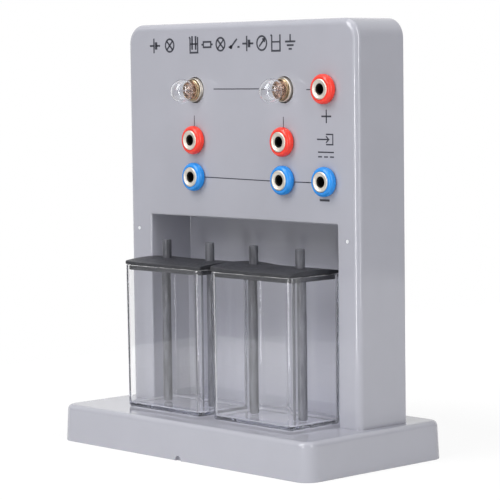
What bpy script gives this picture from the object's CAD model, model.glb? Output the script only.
from math import cos, pi, radians, sin, tan

import bmesh
import bpy
import numpy as np
from mathutils import Matrix, Vector


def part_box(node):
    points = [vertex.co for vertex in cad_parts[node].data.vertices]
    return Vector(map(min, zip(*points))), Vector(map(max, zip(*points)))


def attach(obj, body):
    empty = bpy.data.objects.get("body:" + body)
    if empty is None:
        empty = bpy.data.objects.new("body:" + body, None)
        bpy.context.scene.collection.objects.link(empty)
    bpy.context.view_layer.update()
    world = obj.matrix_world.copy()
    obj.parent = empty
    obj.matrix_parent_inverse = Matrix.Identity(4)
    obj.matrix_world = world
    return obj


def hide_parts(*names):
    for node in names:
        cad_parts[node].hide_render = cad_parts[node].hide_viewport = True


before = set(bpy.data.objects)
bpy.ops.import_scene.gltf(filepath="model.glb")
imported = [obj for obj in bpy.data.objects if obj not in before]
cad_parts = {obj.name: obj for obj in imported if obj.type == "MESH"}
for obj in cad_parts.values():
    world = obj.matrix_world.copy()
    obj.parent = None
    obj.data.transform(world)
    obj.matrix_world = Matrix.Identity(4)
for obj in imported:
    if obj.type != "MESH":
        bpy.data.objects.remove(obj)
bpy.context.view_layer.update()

# Shapes are worked out in millimetres and made smaller by mm when they become meshes.
# X runs to the right, Y from front to back and Z up, as in the frame.
mm = 0.001
past = 1.0        # how far a tool runs past the faces that it cuts
scene = bpy.context.scene


# Ways to make a surface: a shape is a pair of points, in millimetres, and faces

def stacked(*coordinates):
    # Points from their coordinates, where a single number is the same for all of them
    return np.stack(np.broadcast_arrays(*coordinates), -1)


def gridFaces(rows, cols, wrapRows=False, wrapCols=False):
    # Quads between neighbouring grid points; a wrapped way joins its last line to its first
    r = np.arange(rows if wrapRows else rows - 1)[:, None]
    c = np.arange(cols if wrapCols else cols - 1)
    r2, c2 = (r + 1) % rows, (c + 1) % cols
    quads = stacked(r * cols + c, r * cols + c2, r2 * cols + c2, r2 * cols + c)
    return quads.reshape(-1, 4).tolist()


def endFaces(rows, cols):
    # The grid's first row and its last, each as one flat face
    return [list(range(cols)), list(range((rows - 1) * cols, rows * cols))]


def tubeFaces(rows, cols):
    return gridFaces(rows, cols, wrapCols=True) + endFaces(rows, cols)


def arcPoints(centre, radius, start, end, steps=8):
    # Part of a circle: centre + radius * (cosine, sine), from start to end in degrees
    turn = np.radians(np.linspace(start, end, steps + 1))
    return np.array(centre) + radius * stacked(np.cos(turn), np.sin(turn))


def outline(*parts):
    # Single points and runs of points, one after another
    return np.vstack([np.atleast_2d(np.array(part, float)) for part in parts])


def joined(*shapes):
    # Several shapes as one, each with its point numbers moved on by the points before it
    points, faces, count = [], [], 0
    for somePoints, someFaces in shapes:
        points.append(somePoints)
        faces += [[i + count for i in face] for face in someFaces]
        count += len(somePoints)
    return np.concatenate(points), faces


def shifted(shape, offset):
    return shape[0] + np.array(offset, float), shape[1]


def ringBlock(width, depth, radius, profile, place, steps=10):
    # An upright block: the profile (out, up) goes round a rectangle whose corners are arcs,
    # each point at the corner's axis + out * direction
    turn = (np.arange(4)[:, None] * pi / 2 + np.linspace(0, pi / 2, steps + 1)).ravel()
    signs = np.repeat([[1, 1], [-1, 1], [-1, -1], [1, -1]], steps + 1, axis=0)
    axisX, axisY = (signs * (np.array([width, depth]) / 2 - radius)).T
    out, up = np.asarray(profile, float).T[:, :, None]
    points = stacked(axisX + out * np.cos(turn), axisY + out * np.sin(turn), up)
    return points.reshape(-1, 3) + np.array(place, float), tubeFaces(*points.shape[:2])


def archBlock(width, height, radius, profile, place, steps=14):
    # A block with a square foot and two round top corners, seen from the front: the profile
    # (out, back) goes up one side, over the top and down the other
    left = np.linspace(pi, pi / 2, steps + 1)
    turn = np.concatenate([[pi], left, pi - left[::-1], [0]])
    ways = stacked(np.cos(turn), np.sin(turn))
    half = width / 2 - radius
    across = np.repeat([-half, half], steps + 2)
    up = np.full(len(turn), height - radius)
    up[[0, -1]] = 0
    ways[[0, -1]] = [[-1, 0], [1, 0]]
    out, back = np.asarray(profile, float).T
    points = stacked(across[:, None] + ways[:, :1] * out, back, up[:, None] + ways[:, 1:] * out)
    rows, cols = points.shape[:2]
    index = np.arange(rows * cols).reshape(rows, cols)
    ends = [index[:, 0].tolist(), index[:, -1].tolist(), index[0].tolist() + index[-1, ::-1].tolist()]
    return points.reshape(-1, 3) + np.array(place, float), gridFaces(rows, cols) + ends


def turned(profile, place, axis="y", steps=96, swell=0.0, loop=False):
    # The profile (out, along) turns round an axis: out * (cosine, sine) across it. swell is
    # added to out, and may differ from point to point; a loop joins the profile's two ends
    out, along = np.asarray(profile, float).T
    turn = np.arange(steps) * 2 * pi / steps
    reach = np.broadcast_to(out[:, None] + swell, (len(out), steps))
    across, over, far = reach * np.cos(turn), reach * np.sin(turn), along[:, None]
    points = stacked(across, far, -over) if axis == "y" else stacked(across, over, far)
    faces = gridFaces(len(out), steps, wrapRows=loop, wrapCols=True)
    if not loop:
        faces += [face for face, r in zip(endFaces(len(out), steps), out[[0, -1]]) if r > 1e-9]
    return points.reshape(-1, 3) + np.array(place, float), faces


def threadWave(profile, pitch, steps, shift=0.0):
    # A wave between 0 and 1 that climbs along the profile by one pitch each turn
    turn = np.arange(steps) / steps
    return 0.5 + 0.5 * np.cos(2 * pi * (profile[:, 1:] / pitch + shift - turn))


def rods(radius, start, end, places, axis="y", steps=40):
    # Plain round rods, each from start to end along the axis through its place
    return [turned([(radius, start), (radius, end)], place, axis, steps) for place in places]


def boxShape(low, high):
    # The eight corners of a box, its bottom first
    corners = np.array([[x, y, z] for z in (0, 1) for x, y in ((0, 0), (1, 0), (1, 1), (0, 1))])
    low, high = np.array(low, float), np.array(high, float)
    return low + corners * (high - low), tubeFaces(2, 4)


def tubeShape(path, radius, sides=8):
    # A round tube: at each point of the path, radius * (cosine, sine) in the plane square to it
    path = np.array(path, float)
    ahead = np.gradient(path, axis=0)
    ahead /= np.linalg.norm(ahead, axis=1, keepdims=True)
    helper = np.eye(3)[np.argmin(np.abs(ahead).mean(0))]
    across = np.cross(ahead, helper)
    across /= np.linalg.norm(across, axis=1, keepdims=True)
    over = np.cross(ahead, across)
    turn = np.arange(sides)[:, None] * 2 * pi / sides
    points = path[:, None] + radius * (np.cos(turn) * across[:, None] + np.sin(turn) * over[:, None])
    return points.reshape(-1, 3), tubeFaces(len(path), sides)


def picked(sizes, names):
    return [sizes[name] for name in names.split()]


# Ways to make a piece from shapes

def newObject(name, data):
    made = bpy.data.objects.new(name, data)
    scene.collection.objects.link(made)
    return made


def meshFrom(name, *shapes):
    # Doubled points are merged, which closes poles, and faces are turned outwards
    points, faces = joined(*shapes)
    mesh = bpy.data.meshes.new(name)
    mesh.from_pydata(points * mm, [], faces)
    work = bmesh.new()
    work.from_mesh(mesh)
    bmesh.ops.remove_doubles(work, verts=work.verts, dist=0.0005 * mm)
    bmesh.ops.recalc_face_normals(work, faces=work.faces)
    work.to_mesh(mesh)
    work.free()
    return newObject(name, mesh)


def combined(piece, how, *shapes):
    # One boolean of the piece with a tool made from the shapes, or with another piece
    tool = shapes[0] if isinstance(shapes[0], bpy.types.Object) else meshFrom("tool", *shapes)
    change = piece.modifiers.new("change", "BOOLEAN")
    change.operation, change.solver, change.object = how, "EXACT", tool
    bpy.context.view_layer.update()
    graph = bpy.context.evaluated_depsgraph_get()
    made = bpy.data.meshes.new_from_object(piece.evaluated_get(graph), depsgraph=graph)
    old = piece.data
    piece.modifiers.clear()
    piece.data = made
    made.name = piece.name
    bpy.data.meshes.remove(old)
    bpy.data.objects.remove(tool)


def painted(piece, material, chosen):
    # Gives some faces a material of their own: chosen takes the faces' middles in millimetres
    piece.data.materials.append(material)
    count = len(piece.data.polygons)
    middles, index = np.empty(count * 3), np.empty(count, np.int32)
    piece.data.polygons.foreach_get("center", middles)
    piece.data.polygons.foreach_get("material_index", index)
    index[chosen(middles.reshape(-1, 3) / mm)] = len(piece.data.materials) - 1
    piece.data.polygons.foreach_set("material_index", index)


def finished(piece, body, material, slotName, *nodes, smooth=32):
    # Shading, material, and what the piece rides on, takes its finish from and stands for
    piece.data.materials.clear()
    piece.data.materials.append(material)
    piece.data.shade_smooth()
    piece.data.set_sharp_from_angle(angle=radians(smooth))
    even = piece.modifiers.new("even", "WEIGHTED_NORMAL")
    even.keep_sharp = True
    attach(piece, body)
    if nodes:
        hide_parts(*nodes)


def pointsOf(piece):
    # The piece's points, in millimetres
    points = np.empty(len(piece.data.vertices) * 3)
    piece.data.vertices.foreach_get("co", points)
    return points.reshape(-1, 3) / mm


def nodeBox(node):
    # Lowest and highest corner of a CAD node, in millimetres
    low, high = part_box(node)
    return np.array(low) / mm, np.array(high) / mm


def middleOf(node):
    return sum(nodeBox(node)) / 2


def atDepth(place, y):
    return np.array([place[0], y, place[2]])


# Materials. Patterns read Object coordinates, in metres

def filled(owner, node, *values, **named):
    # Fills a node's inputs in their order and by name: an output is linked to the input, and
    # anything else becomes the input's own value
    pairs = list(zip(node.inputs, values))
    pairs += [(node.inputs[name.replace("_", " ")], value) for name, value in named.items()]
    for entry, value in pairs:
        if isinstance(value, bpy.types.NodeSocket):
            owner.node_tree.links.new(value, entry)
        else:
            entry.default_value = value
    return node


def newNode(owner, kind, *values, **named):
    # A new shader node of a material or of the world
    return filled(owner, owner.node_tree.nodes.new("ShaderNode" + kind), *values, **named)


def worked(owner, operation, first, second):
    node = newNode(owner, "Math", first, second)
    node.operation = operation
    return node.outputs["Value"]


def shaderOf(material):
    return material.node_tree.nodes["Principled BSDF"]


def newMaterial(name, colour, roughness, **named):
    material = bpy.data.materials.new(name)
    material.use_nodes = True
    filled(material, shaderOf(material), Base_Color=(*colour, 1), Roughness=roughness, **named)
    return material


def noise(material, scale, detail=3.0, stretch=(1, 1, 1)):
    # A noise pattern; stretch above 1 packs it closer along that axis
    place = newNode(material, "TexCoord").outputs["Object"]
    packed = newNode(material, "Mapping", Vector=place, Scale=stretch).outputs["Vector"]
    return newNode(material, "TexNoise", Vector=packed, Scale=scale, Detail=detail).outputs["Fac"]


def ranged(owner, source, low, high, start=0.3, end=0.7):
    # A value from low to high as the source goes from start to end
    ends = {"From_Min": start, "From_Max": end, "To_Min": low, "To_Max": high}
    return newNode(owner, "MapRange", Value=source, **ends).outputs["Result"]


def toned(material, source, dark, light, start=0.3, end=0.7):
    # A colour from dark to light as the source goes from start to end
    ramp = newNode(material, "ValToRGB", source)
    for element, place, colour in zip(ramp.color_ramp.elements, (start, end), (dark, light)):
        element.position, element.color = place, (*colour, 1)
    return ramp.outputs["Color"]


def bumped(material, height, strength, distance):
    bump = newNode(material, "Bump", Strength=strength, Distance=distance * mm, Height=height)
    filled(material, shaderOf(material), Normal=bump.outputs["Normal"])


def surfaced(material, colours=None, rough=None, bump=None, scale=400, fine=2500, stretch=(1, 1, 1)):
    # Slow changes of colour, fine changes of roughness and a bump, as one finish
    if colours:
        colour = toned(material, noise(material, scale, 4, stretch), *colours)
        filled(material, shaderOf(material), Base_Color=colour)
    if rough:
        roughness = ranged(material, noise(material, fine, 2, stretch), *rough)
        filled(material, shaderOf(material), Roughness=roughness)
    if bump:
        bumped(material, noise(material, fine, 3, stretch), *bump)
    return material


def shown(material, share, first, second):
    # What the material shows: the first shader, with a share of the second mixed in
    mix = newNode(material, "MixShader", share, first, second).outputs["Shader"]
    filled(material, material.node_tree.nodes["Material Output"], Surface=mix)


def shadowThrough(material, colour):
    # Light from the lamps goes through clear plastic and glass, a little tinted
    shadow = newNode(material, "LightPath").outputs["Is Shadow Ray"]
    clear = newNode(material, "BsdfTransparent", Color=(*colour, 1)).outputs["BSDF"]
    shown(material, shadow, shaderOf(material).outputs["BSDF"], clear)


def tint(colour, share):
    return tuple(min(1.0, c * share) for c in colour)


def casePlastic():
    # Glossy moulded plastic: even grey, with a faint cloudiness and a nearly flat skin
    colour = (0.415, 0.418, 0.47)
    material = newMaterial("casePlastic", colour, 0.12, IOR=1.59)
    surfaced(material, (tint(colour, 0.985), tint(colour, 1.015)), (0.04, 0.08), scale=70, fine=900)
    bumped(material, noise(material, 120, 2), 0.03, 0.05)
    return material


def tankPlastic():
    # Clear moulded plastic, a touch uneven, so that straight edges behind it waver a little
    material = newMaterial("tankPlastic", (0.99, 0.99, 0.995), 0.02, Transmission_Weight=1.0, IOR=1.49)
    edge = newNode(material, "Attribute")
    edge.attribute_name = "cloud"
    broken = ranged(material, noise(material, 160, 3), 0.25, 1.0, 0.42, 0.58)
    cloud = worked(material, "MULTIPLY", edge.outputs["Fac"], broken)
    filled(material, shaderOf(material), Roughness=ranged(material, cloud, 0.015, 0.2, 0, 1),
           Transmission_Weight=ranged(material, cloud, 1.0, 0.2, 0, 1))
    bumped(material, noise(material, 350, 2, (1, 1, 0.04)), 0.03, 0.05)
    shadowThrough(material, (0.95, 0.95, 0.955))
    # Long ways through the plastic, as along a wall or the floor, come out darker
    inside = newNode(material, "VolumeAbsorption", Color=(0.1, 0.14, 0.3, 1), Density=12)
    filled(material, material.node_tree.nodes["Material Output"], Volume=inside.outputs["Volume"])
    return material


def lampGlass():
    material = newMaterial("lampGlass", (0.98, 0.985, 0.99), 0.0, Transmission_Weight=1.0, IOR=1.5)
    filled(material, shaderOf(material), Roughness=ranged(material, noise(material, 300, 2), 0.0, 0.03))
    shadowThrough(material, (0.96, 0.96, 0.96))
    return material


def plated(name, colour, dull, rough):
    # Plated or bare metal: faint tarnish in the colour and fine handling marks in the gloss
    material = newMaterial(name, colour, sum(rough) / 2, Metallic=1.0)
    return surfaced(material, (dull, colour), rough, (0.15, 0.02), 500, 2200)


def glossyPlastic(name, colour, rough=(0.16, 0.26)):
    material = newMaterial(name, colour, sum(rough) / 2)
    surfaced(material, (tint(colour, 0.9), tint(colour, 1.06)), rough, scale=300, fine=1500)
    bumped(material, noise(material, 500, 3), 0.1, 0.04)
    return material


def softSleeve(name, colour):
    # Soft wire insulation, slightly dusty
    material = newMaterial(name, colour, 0.45)
    colours = (tint(colour, 0.85), tint(colour, 1.1))
    return surfaced(material, colours, (0.38, 0.55), (0.2, 0.02), 800, 3000)


grey = casePlastic()
# Where the moulding's gate was cut off, the plastic is stressed and white
whitened = surfaced(newMaterial("whitenedPlastic", (0.8, 0.82, 0.84), 0.4),
                    ((0.7, 0.72, 0.75), (0.9, 0.91, 0.93)), (0.3, 0.5), (0.3, 0.05), 1500, 4000)
clearPlastic = tankPlastic()
# Near-black plastic with a fine spark-eroded grain
lidBlack = surfaced(newMaterial("lidPlastic", (0.015, 0.016, 0.021), 0.45),
                    ((0.016, 0.017, 0.021), (0.035, 0.036, 0.043)), (0.36, 0.55), (0.6, 0.08), 260, 1500)
# Pressed graphite: dark grey with fine streaks along the rod and a dull sheen
graphite = surfaced(newMaterial("carbonRod", (0.085, 0.085, 0.092), 0.45, Metallic=0.15),
                    ((0.048, 0.049, 0.058), (0.132, 0.135, 0.155)), (0.3, 0.6), (0.6, 0.08),
                    700, 1800, (1, 1, 0.15))
glass = lampGlass()
stemGlass = surfaced(newMaterial("stemGlass", (0.5, 0.32, 0.25), 0.03, Transmission_Weight=0.6, IOR=1.6),
                     ((0.1, 0.045, 0.03), (0.62, 0.42, 0.33)), (0.02, 0.06), scale=900, fine=1500)
cementFill = surfaced(newMaterial("cementFill", (0.3, 0.17, 0.12), 0.3),
                      ((0.14, 0.065, 0.045), (0.5, 0.3, 0.2)), (0.12, 0.35), (0.5, 0.1), 500, 2500)
brass = plated("brass", (0.48, 0.37, 0.24), (0.3, 0.22, 0.14), (0.16, 0.3))
nickel = plated("nickel", (0.78, 0.73, 0.66), (0.66, 0.61, 0.54), (0.34, 0.5))
steel = plated("zincSteel", (0.74, 0.75, 0.77), (0.6, 0.61, 0.63), (0.25, 0.42))
filamentMetal = plated("filamentMetal", (0.5, 0.5, 0.54), (0.36, 0.36, 0.4), (0.3, 0.45))
boreMetal = plated("boreMetal", (0.03, 0.028, 0.025), (0.015, 0.014, 0.012), (0.5, 0.7))
red = glossyPlastic("redPlastic", (0.93, 0.045, 0.025))
blue = glossyPlastic("bluePlastic", (0.015, 0.27, 0.78))
blackGlaze = glossyPlastic("blackGlaze", (0.018, 0.018, 0.022))
# Screen-printed ink: not quite black, with a grainy film
ink = surfaced(newMaterial("printingInk", (0.03, 0.032, 0.045), 0.5),
               ((0.022, 0.024, 0.036), (0.045, 0.047, 0.062)), (0.4, 0.6), (0.3, 0.01), 1200, 4000)
# Brown paper laminate, with its fibres lying across
brown = surfaced(newMaterial("laminate", (0.16, 0.075, 0.035), 0.5),
                 ((0.12, 0.055, 0.026), (0.2, 0.1, 0.05)), (0.42, 0.6), (0.3, 0.03),
                 700, 2500, (0.2, 1, 1))
redSleeve = softSleeve("redSleeve", (0.6, 0.04, 0.03))
blueSleeve = softSleeve("blueSleeve", (0.03, 0.11, 0.5))
print("materials made")


# Places that several pieces share

screw = {
    "shank": 1.45, "head": 2.8, "sunkHigh": 1.35, "panHigh": 2.016, "thread": 0.22, "threadPitch": 1.25,
    "slotWide": 0.7, "slotLong": 3.1, "slotDeep": 1.1, "intoPost": 9.0, "underHead": 0.6, "point": 1.5,
    # the heads' edges: a pan head's lip, side and rounding, and a sunk head's side
    "lip": 0.1, "panSide": 0.9, "panRound": 1.1, "sunkSide": 0.12,
    # the cover's rows of screws: two by their height over the base, one by its way below the top
    "rows": (12.0, 80.8), "topRow": 13.0,
}
baseLow, baseHigh = nodeBox("base")
shellLow, shellHigh = nodeBox("front_shell")
coverLow, coverHigh = nodeBox("back_cover")
panelY, backY = shellLow[1], shellHigh[1]
benchZ = shellLow[2]          # the base's top, which carries housing and tanks
lamps = {side: middleOf(f"lamp_{side}_cap") for side in ("left", "right")}
lampZ = lamps["left"][2]
sockets = {name: middleOf(name + "_sleeve") for name in (
    "plus_socket", "minus_socket", "left_red", "left_blue", "right_red", "right_blue")}
postX = nodeBox("cover_screws")[1][0] - screw["head"]
postZ = [*(benchZ + up for up in screw["rows"]), shellHigh[2] - screw["topRow"]]
coverPosts = [(sx * postX, 0, z) for sx in (-1, 1) for z in postZ]
footLow, footHigh = nodeBox("base_screws")
footY = [footLow[1] + screw["head"], footHigh[1] - screw["head"]]
footPosts = [(sx * postX, y, 0) for sx in (-1, 1) for y in footY]


# Base: a tray with leaning sides, ribs below and wells for the screws

base = {
    "corner": 7.0, "draft": 3.0, "topRound": 2.5, "footRound": 0.35, "wall": 2.4,
    "ribThickness": 1.6, "ribHeight": 8.0, "ribPitch": 41.0, "wellRadius": 3.2, "holeRadius": 1.51,
    "notchWide": 3.8, "notchHigh": 2.1, "notchX": 1.0, "notchDeep": 1.2, "notchFlare": 0.15,
    # the notch's rim, how far it stands proud, and how far above the table it ends
    "rim": 0.5, "proud": 0.25, "rimFoot": 0.03,
}


def baseBlock(inset, foot=0.0, low=0.0):
    # Its side leans in by tan(draft) * height and goes over a rounded top edge: (out, up)
    width, depth, height = baseHigh - baseLow - np.array([2, 2, 1]) * inset
    radius = base["corner"] - inset
    rounding, slope = base["topRound"] * radius / base["corner"], radians(base["draft"])
    cy = height - rounding
    cx = radius - (cy + rounding * sin(slope)) * tan(slope) - rounding * cos(slope)
    bottom = arcPoints((radius - foot, foot), foot, -90, 0, 4) if foot else [(radius, -low)]
    profile = outline(bottom, arcPoints((cx, cy), rounding, base["draft"], 90, 10))
    return ringBlock(width, depth, radius, profile, (0, 0, 0), 14)


def notchTool(profile, foot):
    # The notch's arch: the profile says how much it grows at a depth behind the front
    radius = base["notchWide"] / 2
    grown = [(radius + grow, y) for grow, y in profile]
    place = (base["notchX"], baseLow[1], foot)
    return archBlock(2 * radius, base["notchHigh"] - foot, radius, grown, place, 8)


def makeBase():
    width, depth, height = baseHigh - baseLow
    half = base["ribThickness"] / 2
    ribLow = height - base["wall"] - base["ribHeight"]
    ribs = meshFrom("ribs", *[boxShape((x - half, -depth / 2, ribLow), (x + half, depth / 2, height))
                              for x in np.array([-1, 0, 1]) * base["ribPitch"]])
    middle = sum(footY) / 2
    combined(ribs, "UNION", boxShape((-width / 2, middle - half, ribLow),
                                     (width / 2, middle + half, height)))
    outer = base["wellRadius"] + base["ribThickness"]
    combined(ribs, "UNION", *rods(outer, ribLow, height, footPosts, "z", 48))
    combined(ribs, "INTERSECT", baseBlock(base["wall"] / 2))
    piece = meshFrom("baseTray", baseBlock(0, base["footRound"]))
    combined(piece, "DIFFERENCE", baseBlock(base["wall"], low=past))
    combined(piece, "UNION", ribs)
    wellR, holeR, wellTop = base["wellRadius"], base["holeRadius"], footLow[2] + screw["panHigh"]
    well = [(0, -past), (wellR, -past), (wellR, wellTop), (holeR, wellTop),
            (holeR, height + past), (0, height + past)]
    rim, proud, flare = picked(base, "rim proud notchFlare")
    edge = [(rim, rim), (rim, 0), (rim - 0.1, -proud * 0.7), (rim - 0.25, -proud), (flare, -proud)]
    combined(piece, "UNION", notchTool(edge, base["rimFoot"]))
    recess = [(flare, -past), (flare, -proud), (0, 0.1), (0, base["notchDeep"])]
    combined(piece, "DIFFERENCE", notchTool(recess, -past),
             *[turned(well, place, "z", 40) for place in footPosts])
    finished(piece, "stand", grey, "grey_case", "base")


makeBase()
print("base made")


# Front shell: panel, sides and top in one moulding, with the bay let into it

shell = {
    "corner": 8.75, "panelRound": 3.1, "backRound": 0.4, "wall": 2.2, "footGap": 0.12,
    "bayX": 1.4, "bayWide": 122.4, "bayHigh": 87.6, "bayDeep": 24.4, "bayCorner": 0.5, "mouthRound": 1.0,
    "bayFillet": 0.45, "lampHole": 11.7, "lampRim": 0.3, "neckHole": 8.0, "postRadius": 3.3,
    "postDeep": 10.0, "boardPostPitch": 25.0, "dimple": 2.4, "dimpleDeep": 0.2, "nub": 1.6,
}


def shellBody():
    # The moulding with its posts and their screw holes, before the bay and the panel are cut
    width, depth, height = shellHigh - shellLow
    wall, corner, front, back = picked(shell, "wall corner panelRound backRound")
    face = outline(arcPoints((corner - front, front), front, -90, 0, 12),
                   arcPoints((corner - back, depth - back), back, 0, 90, 3))
    piece = meshFrom("frontShell", archBlock(width, height, corner, face, (0, panelY, benchZ)))
    inner = corner - wall
    hollow = outline(arcPoints((inner - 1, 1), 1, -90, 0, 4), (inner, depth))
    combined(piece, "DIFFERENCE", archBlock(width - 2 * wall, height - 2 * wall, inner, hollow,
                                            (0, panelY + wall, benchZ + wall)))
    bayHalf = shell["bayWide"] / 2 + wall
    inside = meshFrom("bayBlock", boxShape(
        (shell["bayX"] - bayHalf, panelY + wall / 2, benchZ),
        (shell["bayX"] + bayHalf, panelY + shell["bayDeep"] + wall, benchZ + shell["bayHigh"] + wall)))
    r, root, deep, hole = shell["postRadius"], panelY + wall / 2, shell["postDeep"], base["holeRadius"]
    boardY = nodeBox("holder_left_board")[0][1]
    boardPosts = [(p[0] + side * shell["boardPostPitch"] / 2, 0, p[2])
                  for p in lamps.values() for side in (-1, 1)]
    combined(inside, "UNION", *rods(r, root, coverLow[1], coverPosts), *rods(r, root, boardY, boardPosts))
    combined(inside, "UNION", *rods(r, benchZ + wall / 2, benchZ + deep, footPosts, "z"))
    combined(piece, "UNION", inside)
    combined(piece, "DIFFERENCE", *rods(hole, coverLow[1] - deep, backY + past, coverPosts, steps=32),
             *rods(hole, panelY + wall, boardY + past, boardPosts, steps=32),
             *rods(hole, benchZ - past, benchZ + deep, footPosts, "z", 32))
    return piece


def makeFrontShell():
    width = shellHigh[0] - shellLow[0]
    piece, wall, deep = shellBody(), shell["wall"], shell["bayDeep"]
    mouth, fillet, corner = picked(shell, "mouthRound bayFillet bayCorner")
    bay = outline((corner + mouth, -past), arcPoints((corner + mouth, mouth), mouth, -90, -180, 10),
                  arcPoints((corner - fillet, deep - fillet), fillet, 0, 90, 6))
    combined(piece, "DIFFERENCE", archBlock(shell["bayWide"], shell["bayHigh"] + past, corner, bay,
                                            (shell["bayX"], panelY, benchZ - past), 8))
    rim, lampR, neckR = shell["lampRim"], shell["lampHole"] / 2, shell["neckHole"] / 2
    lampHole = outline((lampR + rim, -past), arcPoints((lampR + rim, rim), rim, -90, -180, 4),
                       (lampR, wall + past))
    pit, nub, shallow = shell["dimple"] / 2, shell["nub"] / 2, shell["dimpleDeep"]
    dimple = [(nub, -past), (pit, -past), (pit, shallow), (nub, shallow)]
    cuts = [turned(lampHole, atDepth(p, panelY)) for p in lamps.values()]
    cuts += rods(neckR, -past, wall + past, [atDepth(p, panelY) for p in sockets.values()], steps=48)
    cuts += [turned(dimple, (sx * postX, panelY, postZ[1]), "y", 32, loop=True) for sx in (-1, 1)]
    combined(piece, "DIFFERENCE", *cuts)
    # A fine joint is left between the housing's walls and the base
    gap = shell["footGap"]
    relief = meshFrom("relief", boxShape((-width, panelY - 5 * past, benchZ - past),
                                         (width, backY + 5 * past, benchZ + gap)))
    combined(relief, "DIFFERENCE", boxShape((-width / 2 + gap, panelY + gap, benchZ - 2 * past),
                                            (width / 2 - gap, backY - gap, benchZ + 2 * past)))
    combined(piece, "DIFFERENCE", relief)
    finished(piece, "stand", grey, "grey_case", "front_shell")
    painted(piece, whitened, lambda p: (p[:, 1] < panelY + 0.1)
            & (np.hypot(np.abs(p[:, 0]) - postX, p[:, 2] - postZ[1]) < nub + 0.01))


makeFrontShell()
print("front shell made")


# Back cover: a plate with round top corners and countersunk screws

cover = {"edgeRound": 0.3, "gap": 0.3, "headRadius": 2.86}


def makeBackCover():
    width, depth, height = coverHigh - coverLow
    corner, edge = shell["corner"] - shell["wall"] - cover["gap"], cover["edgeRound"]
    plate = outline((corner, 0), arcPoints((corner - edge, depth - edge), edge, 0, 90, 3))
    piece = meshFrom("backCover", archBlock(width, height, corner, plate, (0, coverLow[1], coverLow[2])))
    hole, head = base["holeRadius"], cover["headRadius"]
    well = [(hole, -past), (hole, depth - screw["sunkHigh"]), (head, depth), (head, depth + past)]
    combined(piece, "DIFFERENCE", *[turned(well, (x, coverLow[1], z), "y", 40) for x, _, z in coverPosts])
    finished(piece, "stand", grey, "grey_case", "back_cover")


makeBackCover()


# Screws: heads with a cross recess, and a shank with its thread

def screwShape(length, headProfile):
    # The head's profile, then a shank whose out is core + thread * a wave that climbs with the turn
    steps, core = 48, screw["shank"] - screw["thread"]
    along = np.linspace(headProfile[-1][1] + screw["underHead"], length - screw["point"], 90)
    profile = outline(headProfile, stacked(core, along), (0, length))
    threaded = np.zeros((len(profile), 1))
    threaded[len(headProfile):-1] = screw["thread"]
    swell = threaded * threadWave(profile, screw["threadPitch"], steps)
    piece = meshFrom("screw", turned(profile, (0, 0, 0), "z", steps, swell))
    wide, long, far = screw["slotWide"] / 2, screw["slotLong"] / 2, headProfile[0][1]
    for x, y in ((long, wide), (wide, long)):
        combined(piece, "DIFFERENCE", boxShape((-x, -y, far - past), (x, y, far + screw["slotDeep"])))
    shape = pointsOf(piece), [list(face.vertices) for face in piece.data.polygons]
    bpy.data.objects.remove(piece)
    return shape


def makeScrews():
    core = screw["shank"] - screw["thread"]
    head, lip, side, soft = picked(screw, "head lip panSide panRound")
    sunkHead = outline((0, 0), (head - lip, 0), (head, screw["sunkSide"]), (core, screw["sunkHigh"]))
    points, faces = screwShape(coverHigh[1] - coverLow[1] + screw["intoPost"], sunkHead)
    # Turned so that the shank runs towards the front
    sunk = points[:, [0, 2, 1]] * [1, -1, 1], faces
    piece = meshFrom("coverScrews", *[shifted(sunk, (x, coverHigh[1], z)) for x, _, z in coverPosts])
    finished(piece, "stand", steel, "screw_steel", "cover_screws")
    panHead = outline((0, -side - soft), arcPoints((head - lip - soft, -side), soft, -90, 0, 6),
                      (head - lip, -lip), (head - 2 * lip, 0), (core, 0))
    seat = footLow[2] + screw["panHigh"]
    pan = screwShape(footHigh[2] - seat, panHead)
    piece = meshFrom("baseScrews", *[shifted(pan, (x, y, seat)) for x, y, _ in footPosts])
    finished(piece, "stand", steel, "screw_steel", "base_screws")


makeScrews()
print("cover and screws made")


# Tanks: thin clear boxes, a little wider at the rim than at the foot

tank = {
    "corner": 3.0, "flare": 0.35, "wall": 1.6, "floor": 1.5, "footRound": 1.2, "rimRound": 0.45,
    "innerRound": 1.0, "footGap": 0.12,
    # a point this near to the outside counts as one of its own
    "skin": 0.7,
    # how cloudy the rim, the foot and the inside's foot are, how far up that is, and how wide
    "cloud": {"rim": (0.55, 0.0, 0.2), "foot": (0.12, 0.3, 0.35), "inside": (0.12, 0.3, 0.3)},
}


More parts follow.
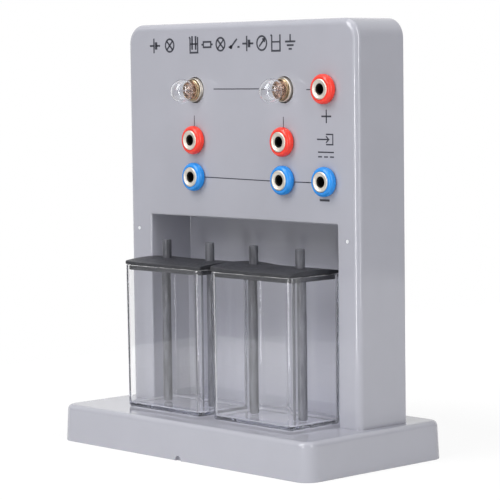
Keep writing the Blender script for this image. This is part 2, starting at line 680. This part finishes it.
def makeTank(side):
    low, high = nodeBox("tank_" + side)
    corner, flare, wall, rim = picked(tank, "corner flare wall rimRound")
    foot, inner, floor = picked(tank, "footRound innerRound floor")
    low[2] += tank["footGap"]
    width, depth, height = high - low - [2 * flare, 2 * flare, 0]
    top = corner + flare
    profile = outline(
        arcPoints((corner - foot, foot), foot, -90, 0, 8),
        arcPoints((top - rim, height - rim), rim, 0, 90, 4),
        arcPoints((top - wall + rim, height - rim), rim, 90, 180, 4),
        arcPoints((corner - wall - inner, floor + inner), inner, 0, -90, 8))
    place = np.array([(low[0] + high[0]) / 2, (low[1] + high[1]) / 2, low[2]])
    piece = meshFrom("tank" + side.title(), ringBlock(width, depth, corner, profile, place, 12))
    x, y, z = (np.abs(pointsOf(piece) - place) - [width / 2 - corner, depth / 2 - corner, 0]).T
    isCorner = (x > 0.05) & (y > 0.05)
    isOuter = np.where(isCorner, np.hypot(x, y), np.maximum(x, y)) > corner - tank["skin"]
    # Moulded edges are a little cloudy: cloud is a sum of bumps exp(-(distance / width)^2)
    cloud = np.zeros(len(z))
    for part, edge, chosen in (("rim", height, 1), ("foot", 0, isOuter), ("inside", floor, ~isOuter)):
        share, above, wide = tank["cloud"][part]
        cloud += share * chosen * np.exp(-((z - edge - above) / wide) ** 2)
    field = piece.data.attributes.new("cloud", "FLOAT", "POINT")
    field.data.foreach_set("value", np.clip(cloud, 0, 1).astype(np.float32))
    finished(piece, f"{side}_tank", clearPlastic, "clear_tank", "tank_" + side)


# Lids: crowned from front to back, with a plug that drops into the tank

lid = {
    "corner": 1.7, "edge": 1.15, "lift": 0.22, "edgeRound": 0.25, "plugInset": 1.95, "plugDeep": 2.6,
    "plugRound": 0.3, "plugInto": 0.7, "holeRadius": 2.15, "strips": (36, 24),
    # how far the edge towards the tanks' middle has warped upwards, and over what width
    "curl": {"left": 0.25, "right": 0.9}, "curlWide": 9.0,
    "rods": {"left": (1, 2), "right": (3, 4)},
}


def makeLid(side):
    # A flat plate is cut into strips, and its top is then raised by crown * (1 - (y / half)^2)
    low, high = nodeBox("lid_" + side)
    tankLow, tankHigh = nodeBox("tank_" + side)
    rimZ = tankHigh[2] + lid["lift"]
    middle = (low + high) / 2
    width, depth = high[0] - low[0], high[1] - low[1]
    corner, edge = picked(lid, "corner edgeRound")
    plate = outline(arcPoints((corner - edge, edge), edge, -90, 0, 4),
                    arcPoints((corner - edge, lid["edge"] - edge), edge, 0, 90, 4))
    place = (middle[0], middle[1], rimZ)
    piece = meshFrom("lid" + side.title(), ringBlock(width, depth, corner, plate, place, 10))
    work = bmesh.new()
    work.from_mesh(piece.data)
    for axis, count in enumerate(lid["strips"]):
        way = np.eye(3)[axis]
        for spot in np.linspace(low[axis], high[axis], count + 1)[1:-1]:
            bmesh.ops.bisect_plane(work, geom=work.verts[:] + work.edges[:] + work.faces[:],
                                   plane_co=way * spot * mm, plane_no=way)
    work.to_mesh(piece.data)
    work.free()
    points = pointsOf(piece)
    share = np.clip((points[:, 2] - rimZ) / lid["edge"], 0, 1)
    crown = high[2] - rimZ - lid["edge"]
    across = (points[:, 1] - middle[1]) / (depth / 2)
    curl = lid["curl"][side] * np.exp(-((points[:, 0] - low[0]) / lid["curlWide"]) ** 2)
    points[:, 2] += share * (crown * (1 - across ** 2) + curl)
    piece.data.vertices.foreach_set("co", (points * mm).ravel())
    inset, deep, soft = picked(lid, "plugInset plugDeep plugRound")
    plugR = tank["corner"] + tank["flare"] - inset
    plugW, plugD = (tankHigh - tankLow)[:2] - 2 * inset
    plug = outline((plugR - soft, 0), (plugR, soft), (plugR, deep + lid["plugInto"]))
    combined(piece, "UNION", ringBlock(plugW, plugD, plugR, plug, (middle[0], middle[1], rimZ - deep), 8))
    axes = [middleOf(f"electrode_{i}") * [1, 1, 0] for i in lid["rods"][side]]
    combined(piece, "DIFFERENCE",
             *rods(lid["holeRadius"], rimZ - deep - past, high[2] + past, axes, "z", 48))
    finished(piece, f"{side}_lid", lidBlack, "black_lid", "lid_" + side, smooth=40)


# Electrodes: carbon rods with a small chamfer and a slightly uneven end

rod = {"chamfer": 0.3, "unevenness": 0.03, "waveLong": 7.0}


def makeElectrode(i):
    # out = radius + a few slow waves round and along, which leave the rod a hair off round
    low, high = nodeBox(f"electrode_{i}")
    radius, length = (high[0] - low[0]) / 2, high[2] - low[2]
    cut, steps = rod["chamfer"], 48
    profile = outline((0, 0), (radius - cut, 0), stacked(radius, np.linspace(cut, length - cut, 60)),
                      (radius - cut, length), (0, length))
    turn = np.arange(steps) * 2 * pi / steps
    wave = np.cos(3 * turn + i) * np.sin(profile[:, 1:] / rod["waveLong"] + i) - 1
    swell = rod["unevenness"] / 2 * wave * (profile[:, :1] > radius - cut - 0.01)
    place = ((low[0] + high[0]) / 2, (low[1] + high[1]) / 2, low[2])
    piece = meshFrom(f"electrode{i}", turned(profile, place, "z", steps, swell))
    finished(piece, f"rod_{i}", graphite, "carbon_rod", f"electrode_{i}")


for side in ("left", "right"):
    makeTank(side)
    makeLid(side)
for i in (1, 2, 3, 4):
    makeElectrode(i)
print("tanks, lids and electrodes made")


# Lamps: a glass globe in a brass screw cap, and the threaded sleeve that it turns in

lamp = {
    "globe": 5.4, "globeOut": 7.6, "glassWall": 0.35, "neck": 3.9, "neckStart": 4.4, "neckIn": 2.0,
    "droop": 0.075,
    "capOut": {"left": 3.2, "right": 2.6}, "capBack": 5.8, "capRadius": 4.75, "capCore": 4.3,
    "capWall": 0.3, "capFloor": 0.3, "capEdge": 0.25, "mouthDeep": 1.2, "lip": 0.16, "pitch": 1.81,
    # where the cap's thread starts, how far before the cap's end it stops, its soft start, the
    # rows over which it runs out, and the power that shapes its crest
    "threadStart": 0.8, "threadStop": 0.5, "threadFade": 0.5, "threadOut": 10, "threadCrest": 0.8,
    "sleeveOut": 1.2, "sleeveIn": 4.82, "sleeveWall": 0.45, "sleeveHole": 2.8, "sleeveWave": 0.16,
    "sleeveStart": 0.5, "sleeveFade": 0.6, "tabHalf": 2.0, "tabUp": 4.2,
    "leadPitch": 3.0, "leadRadius": 0.2, "leadBack": 5.0, "leadDroop": 0.35, "leadFoot": 0.55,
    "leadBend": 0.75, "tipIn": 1.0, "coilTurns": 16, "coilRadius": 0.2, "coilWire": 0.06, "coilSag": 0.5,
    "beadRadius": 0.6, "beadDown": 0.12, "stemRadius": 2.9, "stemIn": (0.8, 0.9), "cementIn": (1.1, 1.6),
    "play": 0.02,
}


def makeGlobe(side):
    # Outside: round the globe, then along the neck; inside: the same way back, a wall smaller
    radius, neck, out = lamp["globe"], lamp["neck"], lamp["capOut"][side]
    meet = np.degrees(np.arcsin(neck / radius))
    along = np.linspace(lamp["neckStart"], lamp["globeOut"] - out + lamp["neckIn"], 6)
    outer, inner = [
        outline(arcPoints((0, 0), radius - less, -90, 90 - meet, 40), stacked(neck - less, along))
        for less in (0, lamp["glassWall"])]
    place = atDepth(lamps[side], panelY - lamp["globeOut"])
    points, faces = turned(outline(outer, inner[::-1]), place, "y", 64)
    # In front of the cap the glass leans down a little: up falls with the way out of the cap
    points[:, 2] -= lamp["droop"] * np.clip(panelY - out - points[:, 1], 0, None)
    piece = meshFrom(f"{side}Globe", (points, faces))
    finished(piece, f"{side}_lamp", glass, "lamp_glass", f"lamp_{side}_glass", smooth=60)


def makeCap(side):
    # The wall's out is core + height * a narrow wave that climbs one pitch each turn
    steps, rows, core, crest = 96, 90, lamp["capCore"], lamp["capRadius"] - lamp["capCore"]
    out, lip = lamp["capOut"][side], lamp["lip"]
    bore, long = core - lamp["capWall"], lamp["capBack"] + out
    along = np.linspace(lamp["threadStart"], long - lamp["threadStop"], rows)
    front = [(0, long - lamp["capFloor"]), (bore, long - lamp["capFloor"]), (bore, lamp["mouthDeep"])]
    profile = outline(front, arcPoints((lamp["capRadius"] - lip, lip), lip, 180, 400, 10),
                      stacked(core, along), (core - lamp["capEdge"], long), (0, long))
    wave = np.clip(2 * threadWave(profile, lamp["pitch"], steps) - 1, 0, 1) ** lamp["threadCrest"]
    fade = np.clip((along - lamp["threadStart"]) / lamp["threadFade"], 0, 1)
    fade[-lamp["threadOut"]:] *= np.linspace(1, 0, lamp["threadOut"])
    wall = np.zeros((len(profile), 1))
    wall[-rows - 2:-2, 0] = fade
    place = atDepth(lamps[side], panelY - out)
    piece = meshFrom(f"{side}Cap", turned(profile, place, "y", steps, crest * wave * wall))
    finished(piece, f"{side}_lamp", brass, "brass", f"lamp_{side}_cap", smooth=50)


def makeFilament(side):
    # Two leads stand in a glass bead and carry a fine coil between their ends. A lead's way from
    # the axis widens by leadFoot + (1 - leadFoot) * (t / leadBend)^1.5
    x, z = lamps[side][0], lamps[side][2]
    half, back, droop = lamp["leadPitch"] / 2, panelY + lamp["leadBack"], lamp["leadDroop"]
    tipY = panelY - lamp["globeOut"] - lamp["tipIn"]
    t = np.linspace(0, 1, 24)
    foot = lamp["leadFoot"]
    spread = half * (foot + (1 - foot) * np.clip(t / lamp["leadBend"], 0, 1) ** 1.5)
    leads = [tubeShape(stacked(x + s * spread, back + (tipY - back) * t, z - droop * t ** 2),
                       lamp["leadRadius"], 10) for s in (-1, 1)]
    t = np.linspace(0, 1, 12 * lamp["coilTurns"])
    turn, r = 2 * pi * lamp["coilTurns"] * t, lamp["coilRadius"]
    coil = stacked(x + half * (2 * t - 1), tipY - lamp["coilSag"] * np.sin(pi * t) + r * np.cos(turn),
                   z - droop + r * np.sin(turn))
    piece = meshFrom(f"{side}Filament", *leads, tubeShape(coil, lamp["coilWire"], 6))
    finished(piece, f"{side}_lamp", filamentMetal, "lamp_wire_metal", f"lamp_{side}_filament", smooth=60)
    r = lamp["beadRadius"]
    points, faces = turned(outline((0, -half - r / 2), arcPoints((0, -half + r / 2), r, -90, 0, 6)[1:],
                                   arcPoints((0, half - r / 2), r, 0, 90, 6)), (0, 0, 0), "z", 24)
    points = points[:, [2, 0, 1]] + [x, panelY - lamp["leadBack"], z - lamp["beadDown"]]
    finished(meshFrom(f"{side}Bead", (points, faces)), f"{side}_lamp", glass, "lamp_glass", smooth=60)


def makeStem(side):
    # The globe's inner stem, pressed shut round the leads, and the cement that fills the cap's mouth
    place = atDepth(lamps[side], panelY - lamp["capOut"][side])
    radius, (centre, end), (front, back) = lamp["stemRadius"], lamp["stemIn"], lamp["cementIn"]
    dome = outline((0, end), (radius, end), arcPoints((0, centre), radius, 0, -90, 16))
    piece = meshFrom(f"{side}Stem", turned(dome, place, "y", 40))
    finished(piece, f"{side}_lamp", stemGlass, "lamp_glass", smooth=60)
    fill = lamp["capCore"] - lamp["capWall"] - lamp["play"]
    cement = [(0, front), (fill, front), (fill, back), (0, back)]
    piece = meshFrom(f"{side}Cement", turned(cement, place, "y", 48))
    finished(piece, f"{side}_lamp", cementFill, "brass")


def makeHolderSleeve(side):
    # Rolled nickel-plated strip: inside and outside wave together with the lamp's pitch
    x, z = lamps[side][0], lamps[side][2]
    low, high = nodeBox(f"holder_{side}_sleeve")
    inner, wall, hole, steps, rows = lamp["sleeveIn"], lamp["sleeveWall"], lamp["sleeveHole"], 96, 70
    long, start, margin = high[1] - low[1] - wall, lamp["sleeveStart"], lamp["sleeveFade"]
    along = np.linspace(start, long - margin, rows)
    profile = outline(
        (hole, long), (inner, long), stacked(inner, along[::-1]),
        arcPoints((inner + wall / 2, wall / 2), wall / 2, 180, 360, 6),
        stacked(inner + wall, along), (inner + wall, long + wall), (hole, long + wall))
    shift = (lamp["capOut"][side] - lamp["sleeveOut"]) / lamp["pitch"]
    fade = np.clip(np.minimum(along - start, long - margin - along) / margin, 0, 1)
    wavy = np.zeros((len(profile), 1))
    wavy[2:rows + 2, 0], wavy[-rows - 2:-2, 0] = fade[::-1], fade
    swell = lamp["sleeveWave"] * wavy * threadWave(profile, lamp["pitch"], steps, shift)
    piece = meshFrom(f"{side}HolderSleeve", turned(profile, (x, low[1], z), "y", steps, swell, loop=True))
    tab = lamp["tabHalf"]
    combined(piece, "UNION", boxShape((x - tab, high[1] - wall, z + lamp["tabUp"]),
                                      (x + tab, high[1], high[2])))
    finished(piece, "stand", nickel, "nickel", f"holder_{side}_sleeve", smooth=50)


for side in ("left", "right"):
    makeGlobe(side)
    makeCap(side)
    makeFilament(side)
    makeStem(side)
    makeHolderSleeve(side)
print("lamps made")


# Sockets: a bulging moulded head round a plated sleeve with a dark bore

socket = {
    "head": 6.5, "headOut": 3.8, "frontRound": 1.9, "backRound": 1.1, "ring": 4.5, "ringThick": 0.8,
    "tube": 2.75, "bore": 2.0, "mouth": 2.5, "mouthDeep": 0.6, "mouthRound": 0.15, "boreDeep": 15.0,
    "mouthIn": 0.2, "face": 0.05,
    "neck": 3.95, "throughPanel": 2.2, "proud": 0.3, "lip": 0.55, "seatLip": 0.12, "play": 0.05,
}


def camelName(name):
    # A socket's name without its last word, in camel case
    first, *others = name.replace("_socket", "").split("_")
    return first + "".join(word.title() for word in others)


def makeSocketHead(name, node, material, slotName):
    head, out, ringR = socket["head"], socket["headOut"], socket["ring"] + socket["play"]
    front, back, hole = socket["frontRound"], socket["backRound"], socket["tube"] + socket["play"]
    thick, lip, neck = picked(socket, "ringThick seatLip neck")
    deep = out + socket["throughPanel"]
    profile = outline((hole, thick), (ringR, thick), (ringR, lip), (ringR + lip, 0),
                      arcPoints((head - front, front), front, -90, 0, 10),
                      arcPoints((head - back, out - back), back, 0, 75, 6),
                      (neck, out), (neck, deep), (hole, deep))
    piece = meshFrom(camelName(name) + "SocketHead",
                     turned(profile, atDepth(sockets[name], panelY - out), loop=True))
    finished(piece, "stand", material, slotName, node, smooth=45)


def makeSocketSleeve(name):
    x, _, z = sockets[name]
    ringR, thick, tubeR, bore = picked(socket, "ring ringThick tube bore")
    proud, lip, mouth, soft = picked(socket, "proud lip mouth mouthRound")
    low, high = nodeBox(name + "_sleeve")
    front, long, deep, turnIn = low[1], high[1] - low[1], socket["boreDeep"], socket["mouthIn"]
    profile = outline(
        (0, deep), (bore, deep), (bore, socket["mouthDeep"]), (mouth, turnIn + 0.02),
        arcPoints((mouth + soft, turnIn), soft, 180, 270, 3), (ringR - 2 * lip, -socket["face"]),
        arcPoints((ringR - lip, lip - proud), lip, -130, 0, 8), (ringR, thick), (tubeR, thick),
        (tubeR, long), (0, long))
    piece = meshFrom(camelName(name) + "SocketSleeve", turned(profile, (x, front, z)))
    finished(piece, "stand", nickel, "nickel", name + "_sleeve", smooth=40)
    painted(piece, boreMetal, lambda p: (p[:, 1] > front + turnIn)
            & (np.hypot(p[:, 0] - x, p[:, 2] - z) < mouth - 0.01))


for name in sockets:
    isRed = "red" in name or "plus" in name
    node = name if name.endswith("socket") else name + "_socket"
    makeSocketHead(name, node, red if isRed else blue, "red_plastic" if isRed else "blue_plastic")
    makeSocketSleeve(name)
print("sockets made")


# Printing on the panel: the circuit's lines, and plain circuit signs where the lettering was

def ring(x, z, radius):
    return arcPoints((x, z), radius, 0, 360, 32)


# Each sign's strokes round its middle: a path (across, up), and with some of them how many line
# widths wide they are
signs = {
    "lamp": [ring(0, 0, 2.9), arcPoints((0, 0), 2.9, 45, 225, 1), arcPoints((0, 0), 2.9, 135, 315, 1)],
    "cell": [[(-3.6, 0), (-0.7, 0)], [(-0.7, -3.4), (-0.7, 3.4)],
             ([(0.8, -1.7), (0.8, 1.7)], 2), [(0.8, 0), (3.6, 0)]],
    "switch": [[(-3.6, -1.4), (-2, -1.4)], [(-2, -1.4), (1.9, 2.2)], [(2.2, -1.4), (3.6, -1.4)],
               ring(-2, -1.4, 0.5)],
    "resistor": [[(-2.5, -1.2), (2.5, -1.2), (2.5, 1.2), (-2.5, 1.2), (-2.5, -1.2)],
                 [(-3.8, 0), (-2.5, 0)], [(2.5, 0), (3.8, 0)]],
    "beaker": [[(-3.3, 3.6), (-2.6, 3.0), (-2.6, -3.5), (2.6, -3.5), (2.6, 3.6)],
               ([(-2.5, 0.4), (2.5, 0.4)], 0.8)],
    "meter": [ring(0, 0, 3.1), [(-1.7, -1.5), (1.6, 1.7)], [(0.3, 1.8), (1.7, 1.8), (1.7, 0.4)]],
    "ground": [[(0, 3.6), (0, 0.4)], *[[(-half, up), (half, up)] for half, up in (
        (3.2, 0.4), (2.1, -1.2), (1, -2.8))]],
    # direct current: a whole line over a broken one
    "direct": [[(-4.8, 1.1), (4.8, 1.1)], *[[(a, -0.9), (a + 2.4, -0.9)] for a in (-4.8, -1.2, 2.4)]],
    # an arrow into an open box
    "inward": [[(0.5, 2.2), (4.6, 2.2), (4.6, -2.2), (0.5, -2.2)], [(-5, 0), (2.2, 0)],
               [(0.5, 1.4), (2.2, 0), (0.5, -1.4)]],
    "plus": [([(-3, 0), (3, 0)], 0.75), ([(0, -2.9), (0, 2.9)], 0.65)],
    "minus": [([(-3, 0), (3, 0)], 0.95)],
}
signs["electrodes"] = signs["beaker"] + [([(s * 1.2, -2.2), (s * 1.2, 4)], 1.3) for s in (-1, 1)]
printing = {
    "line": 0.45, "sign": 0.85, "label": 0.6, "film": 0.03, "into": 0.01,
    # the title's two rows: where each starts, its pitch and its signs
    "titleDown": 9.9, "title": [(-55.2, 10.4, ("cell", "lamp")), (-28.0, 9.0, (
        "electrodes", "resistor", "lamp", "switch", "cell", "meter", "beaker", "ground"))],
    # how far right and up of their sockets the pole signs stand, and where the supply's signs are
    "plusAt": (0.4, -11.7), "minusAt": (-1.1, -8.0), "inwardRight": -0.4, "inwardZ": 141.2,
    "directZ": 134.6,
}


def ribbon(path, width):
    # A flat strip along a path (across, up) on the panel: each point moves half a width to both
    # sides along the mitre of its two neighbours. A path that ends where it starts is closed
    path = np.array(path, float)
    closed = np.allclose(path[0], path[-1])
    if closed:
        path = path[:-1]
    ahead = np.roll(path, -1, 0) - path
    behind = path - np.roll(path, 1, 0)
    if not closed:
        ahead[-1], behind[0] = behind[-1], ahead[0]
    ahead /= np.linalg.norm(ahead, axis=1, keepdims=True)
    behind /= np.linalg.norm(behind, axis=1, keepdims=True)
    side = stacked(-(ahead + behind)[:, 1], (ahead + behind)[:, 0])
    side *= width / np.maximum((side * side).sum(1, keepdims=True), 1e-9)
    front, back = panelY - printing["film"], panelY + printing["into"]
    lines = [(path + side, front), (path - side, front), (path - side, back), (path + side, back)]
    points = np.stack([stacked(p[:, 0], y, p[:, 1]) for p, y in lines])
    n = len(path)
    faces = gridFaces(4, n, wrapRows=True, wrapCols=closed)
    if not closed:
        faces += [[0, n, 2 * n, 3 * n], [n - 1, 2 * n - 1, 3 * n - 1, 4 * n - 1]]
    return points.reshape(-1, 3), faces


def drawn(sign, x, z, width=1.0):
    strokes = [stroke if isinstance(stroke, tuple) else (stroke, 1) for stroke in signs[sign]]
    return [ribbon(np.array(path) + [x, z], share * width) for path, share in strokes]


def circuitLines():
    # From the left lamp to the plus socket, down to the red sockets and along the blue ones. The
    # numbers are the lines' clear ways from the lamps' axes and how far they run under the heads
    headR, left, right = socket["head"], lamps["left"][0], lamps["right"][0]
    plusX, minusX = sockets["plus_socket"][0], sockets["minus_socket"][0]
    blueZ, redTop = sockets["minus_socket"][2], sockets["left_red"][2] + headR
    runs = [[(left + 12.8, lampZ + 0.4), (right - 11.7, lampZ + 0.4)],
            [(right + 14.1, lampZ), (plusX - headR + 0.3, lampZ)],
            [(left - 0.6, redTop + 4.7), (left - 0.6, redTop - 0.4)],
            [(right - 0.4, redTop + 4.5), (right - 0.4, redTop - 0.4)],
            [(left + headR - 0.4, blueZ), (right - headR + 0.3, blueZ - 0.6)],
            [(right + headR - 0.3, blueZ - 0.6), (minusX - headR + 0.3, blueZ - 0.6)]]
    return [ribbon(run, printing["line"]) for run in runs]


def makePrinting():
    shapes = circuitLines()
    for socketName, sign in (("plus_socket", "plus"), ("minus_socket", "minus")):
        x, _, z = sockets[socketName]
        right, up = printing[sign + "At"]
        shapes += drawn(sign, x + right, z + up)
    titleZ = shellHigh[2] - printing["titleDown"]
    for start, pitch, row in printing["title"]:
        for i, sign in enumerate(row):
            shapes += drawn(sign, start + pitch * i, titleZ, printing["sign"])
    supplyX = sockets["plus_socket"][0]
    shapes += drawn("inward", supplyX + printing["inwardRight"], printing["inwardZ"], printing["label"])
    shapes += drawn("direct", supplyX, printing["directZ"], printing["label"])
    finished(meshFrom("panelPrinting", *shapes), "stand", ink, "black_lid")


makePrinting()
print("printing made")


# CAD nodes whose shape is right get their finish here

dressed = {
    "board_screws": steel, "holder_left_board": brown, "holder_right_board": brown,
    "holder_left_contact": brass, "holder_right_contact": brass,
    "lamp_left_tip": blackGlaze, "lamp_right_tip": blackGlaze,
    "red_washers": red, "blue_washers": blue, "solder_tags": nickel, "socket_nuts": nickel,
    "plus_wire": redSleeve, "left_lamp_wire": redSleeve, "right_lamp_wire": redSleeve,
    "minus_wire": blueSleeve,
}
for nodeName, material in dressed.items():
    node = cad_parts[nodeName]
    node.data.materials.clear()
    node.data.materials.append(material)
print("CAD nodes dressed:", len(dressed))


# Floor, light and camera

studio = {
    # the table reaches from its low to its high corner, in millimetres
    "tableLow": (-312, -312), "tableHigh": (710, 650), "tableTone": 0.82, "worldTone": 0.12,
    "whiteNear": 0.84, "whitePaper": 1.06, "fade": (0.12, 0.3),
    # reflections see white behind and above the object, and a dim room beside the table
    "whiteWay": (-0.6, 0.56, 0.57), "roomTone": 0.42,
    "lights": {
        # where it stands, the height that it faces, how wide and high it is, and its power
        "key": ((-0.25, -0.95, 1.05), 0.09, (0.6, 1.1), 12.2),
        "top": ((0.0, 0.1, 1.5), 0.09, (1.0, 1.0), 5.0),
        "frontLow": ((0.3, -1.22, 0.0), 0.0, (0.2, 0.34), 2.6),
        "frontHigh": ((0.3, -1.22, 0.8), 0.8, (0.14, 1.26), 3.2),
        "rightLow": ((1.24, -0.19, 0.0), 0.0, (0.2, 0.34), 1.1),
        "rightHigh": ((1.24, -0.19, 1.06), 1.06, (0.26, 1.78), 11.2),
    },
}
view = {
    "azimuth": 46.953, "elevation": 4.658, "roll": -0.73, "lens": 157.474,
    "place": (0.720145, -0.669536, 0.170577),
}


def seenRays(owner, *kinds):
    # 1 for rays of any of these kinds, and 0 for the others
    rays = newNode(owner, "LightPath").outputs
    seen = rays[f"Is {kinds[0]} Ray"]
    for kind in kinds[1:]:
        seen = worked(owner, "MAXIMUM", seen, rays[f"Is {kind} Ray"])
    return seen


def makeFloor():
    # Pale paper that looks whiter than it is lit, and plain white away from the object
    floor = meshFrom("floor", boxShape((*studio["tableLow"], -20), (*studio["tableHigh"], 0)))
    pale = (studio["tableTone"],) * 3
    material = newMaterial("floorPaper", pale, 0.9, Specular_IOR_Level=0.0)
    surfaced(material, (tint(pale, 0.99), pale), scale=8)
    away = newNode(material, "VectorMath", newNode(material, "TexCoord").outputs["Object"])
    away.operation = "LENGTH"
    far = ranged(material, away.outputs["Value"], studio["whiteNear"], 1.0, *studio["fade"])
    share = worked(material, "MULTIPLY", far, seenRays(material, "Camera", "Glossy", "Transmission"))
    white = newNode(material, "Emission", Strength=studio["whitePaper"]).outputs["Emission"]
    shown(material, share, shaderOf(material).outputs["BSDF"], white)
    floor.data.materials.append(material)


def makeWorld():
    # The room lights the object with a mild grey, and looks white to the camera and through glass
    world = bpy.data.worlds.new("studio")
    scene.world = world
    world.use_nodes = True
    way = newNode(world, "TexCoord").outputs["Generated"]
    facing = newNode(world, "VectorMath", way, studio["whiteWay"])
    facing.operation = "DOT_PRODUCT"
    seen = ranged(world, seenRays(world, "Camera", "Transmission"), studio["worldTone"], 1.0, 0, 1)
    room = ranged(world, facing.outputs["Value"], studio["roomTone"], 1.0, 0.2, 0.55)
    mix = newNode(world, "Mix", Factor=seenRays(world, "Glossy"), A=seen, B=room)
    filled(world, world.node_tree.nodes["Background"], Color=(1, 1, 1, 1), Strength=mix.outputs["Result"])


def makeLight(name, place, facing, size, power):
    # A soft panel that faces the object's upright axis at a height
    light = bpy.data.lights.new(name + "Light", "AREA")
    light.shape, light.energy = "RECTANGLE", power
    light.size, light.size_y = size
    panel = newObject(name + "Light", light)
    panel.location = place
    aim = Vector((0, 0, facing)) - Vector(place)
    panel.rotation_euler = aim.to_track_quat("-Z", "Y").to_euler()


def makeCamera():
    # Turned to its heading, tipped down by its elevation and rolled about its line of sight
    turns = ((view["azimuth"], "Z"), (90 - view["elevation"], "X"), (view["roll"], "Z"))
    heading, tip, roll = (Matrix.Rotation(radians(angle), 4, axis) for angle, axis in turns)
    lens = bpy.data.cameras.new("camera")
    lens.lens, lens.sensor_width = view["lens"], 36
    lens.clip_start, lens.clip_end = 0.05, 30
    camera = newObject("camera", lens)
    camera.matrix_world = Matrix.Translation(view["place"]) @ heading @ tip @ roll
    scene.camera = camera


makeFloor()
makeWorld()
for name, light in studio["lights"].items():
    makeLight(name, *light)
makeCamera()
scene.view_settings.view_transform = "Standard"
# Light turns many times inside clear plastic and glass
scene.cycles.max_bounces = scene.cycles.transmission_bounces = 24
scene.cycles.glossy_bounces, scene.cycles.transparent_max_bounces = 16, 32
print("floor, light and camera made")
